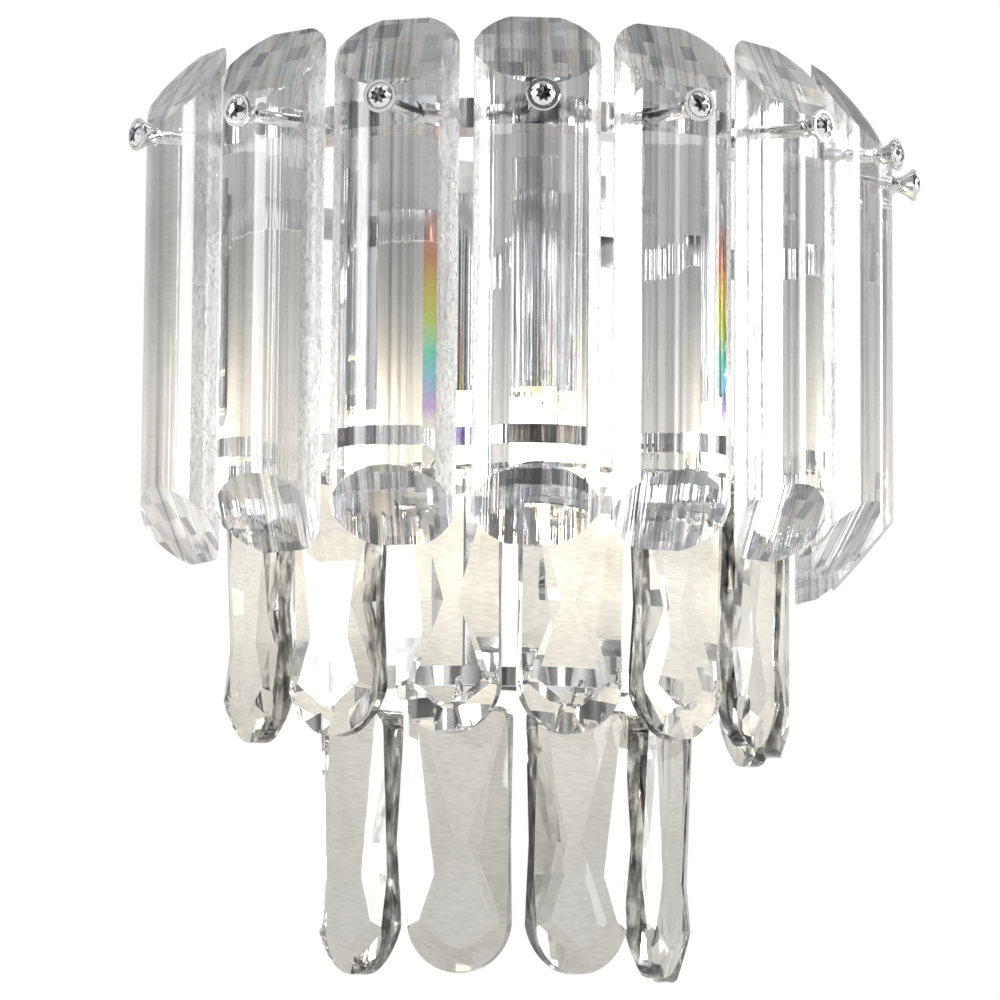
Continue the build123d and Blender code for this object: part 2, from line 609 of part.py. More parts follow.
NIPPLE_TOP = 38.0
SLEEVE_R = SLEEVE_D / 2
with BuildPart() as lamp_sleeves:
    for x, y in LAMP_XY:
        with BuildSketch(Plane.XY.offset(SLEEVE_Z0)):
            with Locations((x, y)):
                Circle(SLEEVE_R)
        extrude(amount=ARM_Z0 - SLEEVE_Z0)
        with BuildSketch(Plane.XY.offset(ARM_Z0)):
            with Locations((x, y)):
                Circle(4.0)
        extrude(amount=NIPPLE_TOP - ARM_Z0)
        with BuildSketch(Plane.XY.offset(SLEEVE_Z0)):
            with Locations((x, y)):
                Circle(SLEEVE_R + 0.6)
        extrude(amount=2.4)
        with BuildSketch(Plane.XY.offset(SLEEVE_Z0)):
            with Locations((x, y)):
                Circle(SLEEVE_R - SLEEVE_T)
        extrude(amount=ARM_Z0 - 1.2 - SLEEVE_Z0, mode=Mode.SUBTRACT)
        with BuildSketch(Plane.XY.offset(ARM_Z0 - 3)):
            with Locations((x, y)):
                Circle(2.5)
        extrude(amount=12, mode=Mode.SUBTRACT)
lamp_sleeves.part.label = "lamp_sleeves"
export_step(lamp_sleeves.part, "parts/lamp_sleeves.step")

HOLDER_Z0, HOLDER_Z1 = -42.5, -20.0
with BuildPart() as lampholders:
    for (x, y), (u, v) in zip(LAMP_XY, LEAD_SIDE):
        with BuildSketch(Plane.XY.offset(HOLDER_Z0)):
            with Locations((x, y)):
                Circle(SLEEVE_R - SLEEVE_T - 0.02)
        extrude(amount=2.0)
        with BuildSketch(Plane.XY.offset(HOLDER_Z0)):
            with Locations((x, y)):
                Circle(6.3)
        extrude(amount=16.0)
        with BuildSketch(Plane.XY.offset(HOLDER_Z0 + 16.0)):
            with Locations((x, y)):
                Circle(4.6)
        extrude(amount=HOLDER_Z1 - HOLDER_Z0 - 16.0)
        with BuildSketch(Plane.XY.offset(HOLDER_Z0)):
            with Locations((x - 2.25, y), (x + 2.25, y)):
                Circle(0.9)
        extrude(amount=9.0, mode=Mode.SUBTRACT)
        with BuildSketch(Plane.XY.offset(HOLDER_Z1)):
            with Locations((x - u, y - v), (x + u, y + v)):
                Circle(0.7)
        extrude(amount=-4.0, mode=Mode.SUBTRACT)
lampholders.part.label = "lampholders"
export_step(lampholders.part, "parts/lampholders.step")

# capsule lamp: flat pinch with two wire pins, tubular envelope, round tip
LAMP_TIP = -72.0
for name, (x, y) in zip(("lamp_left", "lamp_right", "lamp_front"), LAMP_XY):
    with BuildPart() as lamp:
        with BuildSketch(Plane.XZ.offset(-y)):
            with BuildLine():
                Line((x, LAMP_TIP), (x, -47.5))
                Polyline((x, -47.5), (x + 3.6, -47.5), (x + 3.6, -48.2))
                Line((x + 3.6, -48.2), (x + 6.3, -52.0))
                Line((x + 6.3, -52.0), (x + 6.3, LAMP_TIP + 6.3))
                CenterArc((x, LAMP_TIP + 6.3), 6.3, 0, -90)
            make_face()
        revolve(axis=Axis((x, y, 0), (0, 0, 1)))
        with Locations((x, y, (-48.0 + HOLDER_Z0) / 2)):
            Box(9.6, 4.6, HOLDER_Z0 + 48.0)
        with BuildSketch(Plane.XY.offset(HOLDER_Z0)):
            with Locations((x - 2.25, y), (x + 2.25, y)):
                Circle(0.6)
        extrude(amount=7.5)
    lamp.part.label = name
    export_step(lamp.part, f"parts/{name}.step")

# six leads: two to each lamp, from the terminals through the arm
LEAD_R = 0.6
lead_routes = []
for k, (x, y) in enumerate(LAMP_XY):
    order = (0, 2, 1)[k]                       # left, right, front
    u, v = LEAD_SIDE[k]
    for side, y0, y1, z1 in ((-1, -6.6, -9.0, 38.9), (1, -10.0, -12.5, 37.1)):
        x0 = -9.4 + 2.2 * order if side < 0 else 5.0 + 2.2 * order
        xh = -1.9 + 1.9 * order
        lead_routes.append([
            (x0, y0, -1.0), (x0, y0, 26.0), (xh, y1, z1), (xh, -24.0, z1),
            (x + side * u, y + side * v, 41.2),
            (x + side * u, y + side * v, HOLDER_Z1 - 4.0)])

with BuildPart() as lamp_leads:
    for route in lead_routes:
        with BuildLine() as lead_path:
            FilletPolyline(*route, radius=[2.5, 2.0, 3.0, 2.0])
        with BuildSketch(Plane(origin=lead_path.line @ 0, z_dir=lead_path.line % 0)):
            Circle(LEAD_R)
        sweep(path=lead_path.line)
lamp_leads.part.label = "lamp_leads"
export_step(lamp_leads.part, "parts/lamp_leads.step")
print("pieces written")
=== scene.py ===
import math

import bmesh
import bpy
from mathutils import Matrix, Vector


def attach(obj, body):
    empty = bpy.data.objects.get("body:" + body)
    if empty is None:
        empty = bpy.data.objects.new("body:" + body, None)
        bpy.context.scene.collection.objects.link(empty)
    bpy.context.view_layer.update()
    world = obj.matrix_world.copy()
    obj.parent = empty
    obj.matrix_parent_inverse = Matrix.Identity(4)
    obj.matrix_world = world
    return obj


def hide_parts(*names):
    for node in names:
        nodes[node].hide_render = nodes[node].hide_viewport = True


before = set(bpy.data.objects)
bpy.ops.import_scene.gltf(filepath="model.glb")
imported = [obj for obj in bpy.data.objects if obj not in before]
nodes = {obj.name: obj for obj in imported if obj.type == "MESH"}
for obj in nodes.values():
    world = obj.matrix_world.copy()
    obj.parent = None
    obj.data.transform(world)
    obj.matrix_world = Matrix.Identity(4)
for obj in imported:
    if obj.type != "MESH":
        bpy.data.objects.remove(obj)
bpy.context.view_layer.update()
scene = bpy.context.scene

# --------------------------------------------------------------------------
# node helpers
# --------------------------------------------------------------------------


def new_material(name):
    mat = bpy.data.materials.new(name)
    mat.use_nodes = True
    tree = mat.node_tree
    bsdf = tree.nodes["Principled BSDF"]
    return mat, tree, bsdf


def add_node(tree, kind, **values):
    node = tree.nodes.new(kind)
    for key, value in values.items():
        setattr(node, key, value)
    return node


def math_node(tree, op, a, b=None, c=None, clamp=False):
    node = tree.nodes.new("ShaderNodeMath")
    node.operation = op
    node.use_clamp = clamp
    for i, v in enumerate((a, b, c)):
        if v is None:
            continue
        if isinstance(v, (int, float)):
            node.inputs[i].default_value = v
        else:
            tree.links.new(v, node.inputs[i])
    return node.outputs[0]


def noise_of(tree, scale, detail=4.0, rough=0.55, stretch=(1, 1, 1), kind="noise"):
    coords = tree.nodes.new("ShaderNodeTexCoord")
    mapping = tree.nodes.new("ShaderNodeMapping")
    mapping.inputs["Scale"].default_value = stretch
    tree.links.new(coords.outputs["Object"], mapping.inputs["Vector"])
    if kind == "voronoi":
        tex = tree.nodes.new("ShaderNodeTexVoronoi")
        tex.inputs["Scale"].default_value = scale
        tree.links.new(mapping.outputs["Vector"], tex.inputs["Vector"])
        return tex.outputs["Distance"]
    tex = tree.nodes.new("ShaderNodeTexNoise")
    tex.inputs["Scale"].default_value = scale
    tex.inputs["Detail"].default_value = detail
    tex.inputs["Roughness"].default_value = rough
    tree.links.new(mapping.outputs["Vector"], tex.inputs["Vector"])
    return tex.outputs["Fac"]


def map_range(tree, value, a, b, c, d):
    node = tree.nodes.new("ShaderNodeMapRange")
    node.inputs["From Min"].default_value = a
    node.inputs["From Max"].default_value = b
    node.inputs["To Min"].default_value = c
    node.inputs["To Max"].default_value = d
    tree.links.new(value, node.inputs["Value"])
    return node.outputs["Result"]


def ramp(tree, value, stops, mode="LINEAR"):
    node = tree.nodes.new("ShaderNodeValToRGB")
    node.color_ramp.interpolation = mode
    el = node.color_ramp.elements
    while len(el) > 1:
        el.remove(el[-1])
    el[0].position, el[0].color = stops[0][0], (*stops[0][1], 1)
    for pos, col in stops[1:]:
        e = el.new(pos)
        e.color = (*col, 1)
    tree.links.new(value, node.inputs["Fac"])
    return node.outputs["Color"]


def add_bump(tree, bsdf, height, strength, distance):
    bump = tree.nodes.new("ShaderNodeBump")
    bump.inputs["Strength"].default_value = strength
    bump.inputs["Distance"].default_value = distance
    tree.links.new(height, bump.inputs["Height"])
    tree.links.new(bump.outputs["Normal"], bsdf.inputs["Normal"])


def metal(name, dark, light, rough_low, rough_high, scale, bump, stretch=(1, 1, 1)):
    mat, tree, bsdf = new_material(name)
    bsdf.inputs["Metallic"].default_value = 1.0
    cloud = noise_of(tree, scale, 5.0, 0.6, stretch)
    colour = ramp(tree, cloud, [(0.3, dark), (0.7, light)])
    tree.links.new(colour, bsdf.inputs["Base Color"])
    fine = noise_of(tree, scale * 6, 3.0, 0.6, stretch)
    tree.links.new(map_range(tree, fine, 0.3, 0.7, rough_low, rough_high),
                   bsdf.inputs["Roughness"])
    add_bump(tree, bsdf, fine, bump, 0.0002)
    return mat


def glass(name, tint, rough_low, rough_high, bump, ior=1.52, scale=60.0):
    mat, tree, bsdf = new_material(name)
    bsdf.inputs["Transmission Weight"].default_value = 1.0
    bsdf.inputs["IOR"].default_value = ior
    cloud = noise_of(tree, scale, 3.0, 0.5)
    colour = ramp(tree, cloud, [(0.35, tint[0]), (0.65, tint[1])])
    tree.links.new(colour, bsdf.inputs["Base Color"])
    tree.links.new(map_range(tree, cloud, 0.3, 0.7, rough_low, rough_high),
                   bsdf.inputs["Roughness"])
    add_bump(tree, bsdf, cloud, bump, 0.0002)
    return mat


# --------------------------------------------------------------------------
# materials
# --------------------------------------------------------------------------
chrome = metal("chrome_plate", (0.70, 0.705, 0.71), (0.80, 0.80, 0.80),
               0.03, 0.09, 220.0, 0.05)
arm_metal = metal("polished_arm_metal", (0.62, 0.62, 0.61), (0.74, 0.73, 0.71),
                  0.06, 0.16, 160.0, 0.08)
zinc = metal("zinc_plate", (0.46, 0.48, 0.50), (0.63, 0.65, 0.66),
             0.28, 0.48, 90.0, 0.25)
wire_steel = metal("bright_wire", (0.60, 0.60, 0.60), (0.78, 0.78, 0.77),
                   0.08, 0.2, 400.0, 0.1)

bar_glass = glass("bar_glass", ((0.985, 0.985, 0.985), (1, 1, 1)), 0.0, 0.012,
                  0.02, scale=35.0)
plate_glass = glass("plate_glass", ((0.98, 0.98, 0.975), (1, 1, 0.998)), 0.0, 0.02,
                    0.03, scale=80.0)

# ground narrow sides of the bars: frosted; the grain colour paints glints (bright grains) and
# shade (dark grains)
ground, tree, bsdf = new_material("ground_glass_side")
bsdf.inputs["Transmission Weight"].default_value = 1.0
bsdf.inputs["IOR"].default_value = 1.52
grain = noise_of(tree, 900.0, 3.0, 0.65, (1, 1, 0.45))
blotch = noise_of(tree, 120.0, 4.0, 0.6, (1, 1, 0.3))
# painted glints and painted shade in the grain colour
tree.links.new(ramp(tree, grain, [(0.34, (0.34, 0.35, 0.36)), (0.46, (0.72, 0.73, 0.74)),
                                  (0.64, (0.97, 0.97, 0.97))]),
               bsdf.inputs["Base Color"])
tree.links.new(map_range(tree, blotch, 0.3, 0.7, 0.12, 0.42), bsdf.inputs["Roughness"])
add_bump(tree, bsdf, grain, 0.6, 0.0003)

# ribbed back of the bars: upright streaks of painted reflection and painted shade, ribbed by the
# same noise as a bump
bar_back, tree, bsdf = new_material("bar_back_glass")
bsdf.inputs["Transmission Weight"].default_value = 1.0
bsdf.inputs["IOR"].default_value = 1.52
bsdf.inputs["Roughness"].default_value = 0.0
rib_and_painted_streak = noise_of(tree, 240.0, 3.0, 0.6, (1, 1, 0.004))
tree.links.new(ramp(tree, rib_and_painted_streak, [(0.36, (0.20, 0.205, 0.22)), (0.43, (0.52, 0.53, 0.55)),
                                   (0.5, (0.82, 0.83, 0.845)), (0.60, (1, 1, 1))]),
               bsdf.inputs["Base Color"])
add_bump(tree, bsdf, rib_and_painted_streak, 0.5, 0.0010)

# the same back, with painted rainbow fringes in place of the colours that the cut edges spread
bar_painted_rainbow, tree, bsdf = new_material("bar_painted_rainbow_glass")
bsdf.inputs["Transmission Weight"].default_value = 1.0
bsdf.inputs["IOR"].default_value = 1.52
bsdf.inputs["Roughness"].default_value = 0.0
coords = tree.nodes.new("ShaderNodeTexCoord")
split = tree.nodes.new("ShaderNodeSeparateXYZ")
tree.links.new(coords.outputs["Object"], split.inputs[0])
wave = noise_of(tree, 90.0, 2.0, 0.5, (1, 1, 0.05))
drop = math_node(tree, "MULTIPLY_ADD", wave, 0.016, split.outputs["Z"])
drop01 = map_range(tree, drop, -0.064, 0.016, 0.0, 1.0)
tree.links.new(ramp(tree, drop01, [(0.0, (0.93, 0.93, 0.94)), (0.08, (0.46, 0.26, 0.98)),
                                   (0.2, (0.12, 0.50, 1.0)), (0.33, (0.06, 0.92, 0.52)),
                                   (0.46, (0.60, 1.0, 0.05)), (0.6, (1.0, 0.70, 0.03)),
                                   (0.76, (1.0, 0.18, 0.05)), (0.9, (1.0, 0.36, 0.24)),
                                   (1.0, (0.9, 0.9, 0.92))]),
               bsdf.inputs["Base Color"])
add_bump(tree, bsdf, wave, 0.3, 0.0006)

# oblique cuts at the bars' ends: a chequer of small bright and dark painted reflections
bar_cut, tree, bsdf = new_material("bar_cut_glass")
bsdf.inputs["Transmission Weight"].default_value = 1.0
bsdf.inputs["IOR"].default_value = 1.52
bsdf.inputs["Roughness"].default_value = 0.0
coords = tree.nodes.new("ShaderNodeTexCoord")
split = tree.nodes.new("ShaderNodeSeparateXYZ")
tree.links.new(coords.outputs["Object"], split.inputs[0])
toward = math_node(tree, "MULTIPLY_ADD", split.outputs["Y"], -1.0, -0.020)
bearing_of = math_node(tree, "ARCTAN2", split.outputs["X"], toward)
column = math_node(tree, "FLOOR", math_node(tree, "MULTIPLY", bearing_of, 27.0))
row = math_node(tree, "FLOOR", math_node(tree, "MULTIPLY_ADD", split.outputs["Z"], 165.0, 0.4))
cell = tree.nodes.new("ShaderNodeCombineXYZ")
tree.links.new(column, cell.inputs["X"])
tree.links.new(row, cell.inputs["Y"])
chance = tree.nodes.new("ShaderNodeTexWhiteNoise")
chance.noise_dimensions = "3D"
tree.links.new(cell.outputs[0], chance.inputs["Vector"])
tree.links.new(ramp(tree, chance.outputs["Value"], [
    (0.0, (0.20, 0.21, 0.24)), (0.22, (0.50, 0.52, 0.56)), (0.40, (0.80, 0.82, 0.86)),
    (0.52, (0.98, 0.90, 0.80)), (0.60, (0.74, 0.88, 0.98)), (0.68, (0.93, 0.84, 0.97)),
    (0.76, (1.0, 1.0, 1.0)), (1.0, (1.0, 1.0, 1.0))]), bsdf.inputs["Base Color"])
fan = noise_of(tree, 160.0, 3.0, 0.6)
add_bump(tree, bsdf, fan, 0.10, 0.0006)

# slanted facets of the plates, greyed with painted shade, and their edges, with streaks of dark
# painted shade
plate_facet, tree, bsdf = new_material("plate_facet_glass")
bsdf.inputs["Transmission Weight"].default_value = 1.0
bsdf.inputs["IOR"].default_value = 1.54
bsdf.inputs["Roughness"].default_value = 0.0
cloud = noise_of(tree, 60.0, 3.0, 0.55, (1, 1, 0.5))
tree.links.new(ramp(tree, cloud, [(0.35, (0.84, 0.835, 0.815)), (0.5, (0.92, 0.915, 0.90)),
                                  (0.66, (1.0, 1.0, 0.99))]), bsdf.inputs["Base Color"])
add_bump(tree, bsdf, cloud, 0.01, 0.0004)

plate_edge, tree, bsdf = new_material("plate_edge_glass")
bsdf.inputs["Transmission Weight"].default_value = 1.0
bsdf.inputs["IOR"].default_value = 1.54
bsdf.inputs["Roughness"].default_value = 0.03
cloud = noise_of(tree, 260.0, 4.0, 0.6, (1, 1, 0.4))
tree.links.new(ramp(tree, cloud, [(0.40, (0.07, 0.07, 0.066)), (0.5, (0.36, 0.355, 0.34)),
                                  (0.60, (0.98, 0.98, 0.97))]), bsdf.inputs["Base Color"])
add_bump(tree, bsdf, cloud, 0.1, 0.0004)


def foil(name, low, high):
    mat, tree, bsdf = new_material(name)
    bsdf.inputs["Metallic"].default_value = 1.0
    bsdf.inputs["Roughness"].default_value = 0.03
    bsdf.inputs["Coat Weight"].default_value = 0.6
    cloud = noise_of(tree, 700.0, 3.0, 0.6)
    tree.links.new(ramp(tree, cloud, [(0.35, low), (0.65, high)]), bsdf.inputs["Base Color"])
    add_bump(tree, bsdf, cloud, 0.08, 0.0002)
    return mat


# lit and shaded copies of one foil: bright, painted half shade (mid) and painted shade (dark)
stone_painted_lit = foil("stone_foil_painted_lit", (0.78, 0.79, 0.82), (0.93, 0.93, 0.95))
stone_painted_half_shade = foil("stone_foil_painted_half_shade", (0.30, 0.31, 0.33), (0.48, 0.48, 0.50))
stone_painted_shade = foil("stone_foil_painted_shade", (0.03, 0.03, 0.035), (0.10, 0.10, 0.11))

# ceramic, rubber, silicone
ceramic, tree, bsdf = new_material("glazed_ceramic")
speck = noise_of(tree, 260.0, 6.0, 0.65)
tree.links.new(ramp(tree, speck, [(0.3, (0.70, 0.67, 0.61)), (0.55, (0.80, 0.78, 0.73)),
                                  (0.75, (0.85, 0.84, 0.80))]), bsdf.inputs["Base Color"])
tree.links.new(map_range(tree, speck, 0.3, 0.7, 0.25, 0.5), bsdf.inputs["Roughness"])
add_bump(tree, bsdf, speck, 0.2, 0.0003)

rubber, tree, bsdf = new_material("black_rubber_skin")
speck = noise_of(tree, 420.0, 5.0, 0.7)
tree.links.new(ramp(tree, speck, [(0.3, (0.012, 0.012, 0.013)), (0.7, (0.035, 0.035, 0.036))]),
               bsdf.inputs["Base Color"])
tree.links.new(map_range(tree, speck, 0.3, 0.7, 0.45, 0.7), bsdf.inputs["Roughness"])
add_bump(tree, bsdf, speck, 0.35, 0.0003)

silicone, tree, bsdf = new_material("silicone_sleeving")
speck = noise_of(tree, 500.0, 4.0, 0.6, (1, 1, 0.2))
tree.links.new(ramp(tree, speck, [(0.3, (0.72, 0.71, 0.68)), (0.7, (0.86, 0.85, 0.83))]),
               bsdf.inputs["Base Color"])
tree.links.new(map_range(tree, speck, 0.3, 0.7, 0.35, 0.55), bsdf.inputs["Roughness"])
add_bump(tree, bsdf, speck, 0.3, 0.0002)

terminal, tree, bsdf = new_material("terminal_moulding")
speck = noise_of(tree, 300.0, 4.0, 0.6)
tree.links.new(ramp(tree, speck, [(0.3, (0.66, 0.66, 0.63)), (0.7, (0.78, 0.78, 0.75))]),
               bsdf.inputs["Base Color"])
tree.links.new(map_range(tree, speck, 0.3, 0.7, 0.4, 0.6), bsdf.inputs["Roughness"])
add_bump(tree, bsdf, speck, 0.25, 0.0002)

# lit capsule lamps: white hot body, warmer towards the base
lamp_skin, tree, bsdf = new_material("lit_lamp_glass")
coords = tree.nodes.new("ShaderNodeTexCoord")
split = tree.nodes.new("ShaderNodeSeparateXYZ")
tree.links.new(coords.outputs["Object"], split.inputs[0])
along = map_range(tree, split.outputs["Z"], -0.072, -0.042, 0.0, 1.0)
frost = noise_of(tree, 300.0, 4.0, 0.6)
tree.links.new(ramp(tree, along, [(0.0, (1.0, 0.88, 0.68)), (0.55, (1.0, 0.88, 0.68)),
                                  (0.85, (1.0, 0.72, 0.38)), (1.0, (0.85, 0.52, 0.22))]),
               bsdf.inputs["Emission Color"])
glow = ramp(tree, along, [(0.0, (0.9, 0.9, 0.9)), (0.5, (1, 1, 1)), (0.8, (0.30, 0.30, 0.30)),
                          (0.9, (0.06, 0.06, 0.06)), (1.0, (0.04, 0.04, 0.04))])
glow_v = math_node(tree, "MULTIPLY", glow, 30.0)
tree.links.new(glow_v, bsdf.inputs["Emission Strength"])
tree.links.new(map_range(tree, frost, 0.3, 0.7, 0.15, 0.35), bsdf.inputs["Roughness"])
tree.links.new(ramp(tree, frost, [(0.3, (0.86, 0.85, 0.82)), (0.7, (0.92, 0.91, 0.88))]),
               bsdf.inputs["Base Color"])
add_bump(tree, bsdf, frost, 0.1, 0.0002)


def wear(names, mat):
    for n in names:
        data = nodes[n].data
        data.materials.clear()
        data.materials.append(mat)


wear(["canopy_box", "back_bar", "spine_uprights", "ring_crossbars", "frame_fixings",
      "top_ring", "mid_ring", "lower_ring", "bar_bolts", "bar_bushes",
      "bar_cap_nuts", "lamp_sleeves"], chrome)
wear(["lamp_arm", "lamp_arm_lid", "lamp_arm_fixings"], arm_metal)
wear(["wall_bracket", "bracket_fixings"], zinc)
wear(["terminal_block"], terminal)
wear(["cable_grommet"], rubber)
wear(["lampholders"], ceramic)
wear(["lamp_leads"], silicone)
wear(["lamp_left", "lamp_right", "lamp_front"], lamp_skin)
wear(["bar_stones"], stone_painted_lit)
hooks = [n for n in nodes if "_hook_" in n]
wear(hooks, wire_steel)
plates = [n for n in nodes if "_plate_" in n]
wear(plates, plate_glass)
bars = [f"crystal_bar_{i + 1}" for i in range(9)]
wear(bars, bar_glass)

RING_Y = -0.020
BAR_THETAS = [-84.4 + 21.1 * i for i in range(9)]
MID_THETAS = [-84.28 + 24.08 * i for i in range(8)]
LOW_THETAS = [-76.34 + 38.17 * i for i in range(5)]


def facing(theta):
    """Outward and sideways directions of a crystal at bearing theta."""
    t = math.radians(theta)
    return Vector((math.sin(t), -math.cos(t), 0)), Vector((math.cos(t), math.sin(t), 0))


# bars: ground narrow sides with painted glints, a ribbed back with painted streaks, painted
# rainbow fringes in a few facets
painted_rainbow_spans = {2: (0.0070, 0.0225), 4: (0.0154, 0.0198)}
for i, (name, theta) in enumerate(zip(bars, BAR_THETAS)):
    data = nodes[name].data
    for extra in (ground, bar_back, bar_painted_rainbow, bar_cut):
        data.materials.append(extra)
    out_dir, side_dir = facing(theta)
    for poly in data.polygons:
        c = poly.center - Vector((0, RING_Y, 0))
        across = c.dot(side_dir)
        if abs(across) > 0.0190 and poly.normal.dot(out_dir) > -0.3 and \
                abs(poly.normal.dot(side_dir)) > 0.6:
            poly.material_index = 1
        elif poly.normal.dot(out_dir) < -0.3 and abs(poly.normal.z) < 0.2:
            poly.material_index = 2
            if i in painted_rainbow_spans and painted_rainbow_spans[i][0] < across < painted_rainbow_spans[i][1]:
                poly.material_index = 3
        elif abs(poly.normal.z) > 0.4:
            poly.material_index = 4

# plates: flat hourglass clear, slanted side facets and edges darker with painted shade
plate_bearings = {f"mid_plate_{i + 1}": t for i, t in enumerate(MID_THETAS)}
plate_bearings.update({f"lower_plate_{i + 1}": t for i, t in enumerate(LOW_THETAS)})
for name, theta in plate_bearings.items():
    data = nodes[name].data
    for extra in (plate_facet, plate_edge):
        data.materials.append(extra)
    out_dir, side_dir = facing(theta)
    for poly in data.polygons:
        r = abs(poly.normal.dot(out_dir))
        if r < 0.92:
            poly.material_index = 2
        elif r < 0.985:
            poly.material_index = 1

# cut stones: crown with table, stars, kites and girdle facets, foiled behind; table and star
# facets get painted shade
stone_mesh = bpy.data.meshes.new("cut_stones")
verts, faces, kinds = [], [], []
for theta in BAR_THETAS:
    out_dir, side_dir = facing(theta)
    up_dir = Vector((0, 0, 1))
    centre = Vector((0, RING_Y, 0.04325))
    base = len(verts)

    def put(radius, reach, angle):
        a = math.radians(angle)
        verts.append(tuple(centre + out_dir * reach
                           + side_dir * (radius * math.sin(a)) + up_dir * (radius * math.cos(a))))

    put(0.0, 0.16140, 0)
    for k in range(8):
        put(0.00225, 0.16168, 45 * k)
    for k in range(8):
        put(0.00335, 0.16105, 45 * k + 22.5)
    for k in range(16):
        put(0.00440, 0.15995, 22.5 * k)
    for k in range(16):
        put(0.00440, 0.15855, 22.5 * k)
    T, S, G, B = base + 1, base + 9, base + 17, base + 33
    for k in range(8):
        n = (k + 1) % 8
        faces.append((base, T + k, T + n))
        kinds.append(2 if k % 2 else 1)
        faces.append((T + k, S + k, T + n))
        kinds.append(1)
        faces.append((T + k, S + (k - 1) % 8, G + 2 * k, S + k))
        kinds.append(0)
        faces.append((S + k, G + 2 * k, G + 2 * k + 1))
        kinds.append(0)
        faces.append((S + k, G + 2 * k + 1, G + (2 * k + 2) % 16))
        kinds.append(0)
    for k in range(16):
        n = (k + 1) % 16
        faces.append((G + k, B + k, B + n, G + n))
        kinds.append(0)
    faces.append(tuple(B + k for k in range(15, -1, -1)))
    kinds.append(0)
stone_mesh.from_pydata(verts, [], faces)
for m in (stone_painted_lit, stone_painted_shade, stone_painted_half_shade):
    stone_mesh.materials.append(m)
# kinds pick the painted light: 0 bright foil, 1 painted shade, 2 painted half shade
for poly, kind in zip(stone_mesh.polygons, kinds):
    poly.material_index = kind
tidy = bmesh.new()
tidy.from_mesh(stone_mesh)
bmesh.ops.recalc_face_normals(tidy, faces=tidy.faces)
tidy.to_mesh(stone_mesh)
tidy.free()
cut_stones = bpy.data.objects.new("cut_stones", stone_mesh)
scene.collection.objects.link(cut_stones)
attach(cut_stones, "root")
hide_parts("bar_stones")

# --------------------------------------------------------------------------
# floor, world, camera
# --------------------------------------------------------------------------
floor_mesh = bpy.data.meshes.new("floor")
floor_mesh.from_pydata([(-4, -4, -0.45), (4, -4, -0.45), (4, 4, -0.45), (-4, 4, -0.45)],
                       [], [(0, 1, 2, 3)])
floor = bpy.data.objects.new("floor", floor_mesh)
scene.collection.objects.link(floor)
floor_mat, tree, bsdf = new_material("pale_floor")
cloud = noise_of(tree, 3.0, 4.0, 0.5)
tree.links.new(ramp(tree, cloud, [(0.3, (0.80, 0.79, 0.77)), (0.7, (0.84, 0.83, 0.81))]),
               bsdf.inputs["Base Color"])
bsdf.inputs["Roughness"].default_value = 0.7
floor_mesh.materials.append(floor_mat)

# the wall behind, seen only through the glass: it casts and blocks nothing
wall_mesh = bpy.data.meshes.new("wall_backdrop")
wall_mesh.from_pydata([(-3, 0.001, -0.45), (3, 0.001, -0.45), (3, 0.001, 2), (-3, 0.001, 2)],
                      [], [(0, 1, 2, 3)])
wall = bpy.data.objects.new("wall_backdrop", wall_mesh)
scene.collection.objects.link(wall)
wall_mat, tree, bsdf = new_material("wall_with_painted_lamp_glow")
weave = noise_of(tree, 700.0, 3.0, 0.6, (0.35, 1, 1.6))
broad = noise_of(tree, 14.0, 2.0, 0.5)
coords = tree.nodes.new("ShaderNodeTexCoord")
split = tree.nodes.new("ShaderNodeSeparateXYZ")
tree.links.new(coords.outputs["Object"], split.inputs[0])
grain_tint = ramp(tree, weave, [(0.3, (0.76, 0.76, 0.76)), (0.7, (0.98, 0.98, 0.98))])
# painted pool of lamp light: a bright band at the lamps' height, greyer towards the bottom and
# top
painted_lamp_glow = ramp(tree, map_range(tree, split.outputs["Z"], -0.30, 0.10, 0.0, 1.0), [
    (0.0, (0.46, 0.455, 0.44)), (0.22, (0.53, 0.52, 0.49)), (0.36, (0.68, 0.665, 0.62)),
    (0.48, (0.88, 0.86, 0.80)), (0.62, (0.82, 0.80, 0.76)), (0.74, (0.60, 0.60, 0.585)),
    (1.0, (0.52, 0.525, 0.52))])
shade = tree.nodes.new("ShaderNodeMix")
shade.data_type = "RGBA"
shade.blend_type = "MULTIPLY"
shade.inputs["Factor"].default_value = 1.0
tree.links.new(grain_tint, shade.inputs["A"])
tree.links.new(painted_lamp_glow, shade.inputs["B"])
tree.links.new(shade.outputs["Result"], bsdf.inputs["Base Color"])
bsdf.inputs["Roughness"].default_value = 0.8
wall_mesh.materials.append(wall_mat)
wall.visible_camera = False
wall.visible_diffuse = False
wall.visible_glossy = False
wall.visible_shadow = False

# clear glass doesn't black out the light behind it
for n in bars + plates:
    nodes[n].visible_shadow = False

VIEW_TURN = 26.2
world = bpy.data.worlds.new("studio")
scene.world = world
world.use_nodes = True
tree = world.node_tree
tree.nodes.clear()
out = tree.nodes.new("ShaderNodeOutputWorld")
coords = tree.nodes.new("ShaderNodeTexCoord")
split = tree.nodes.new("ShaderNodeSeparateXYZ")
tree.links.new(coords.outputs["Generated"], split.inputs[0])
azimuth = math_node(tree, "ARCTAN2", split.outputs["X"], split.outputs["Y"])
# 0.5 is straight away from the viewer, 0 and 1 are the viewer's own side
turn = math_node(tree, "FRACT", math_node(tree, "MULTIPLY_ADD", azimuth, 0.5 / math.pi,
                                          1.5 - VIEW_TURN / 360.0))
height = math_node(tree, "MULTIPLY_ADD", split.outputs["Z"], 0.5, 0.5)


def g(v, tint=(1, 1, 1)):
    return (v * tint[0], v * tint[1], v * tint[2])


def az(deg):
    return 0.5 + deg / 360.0


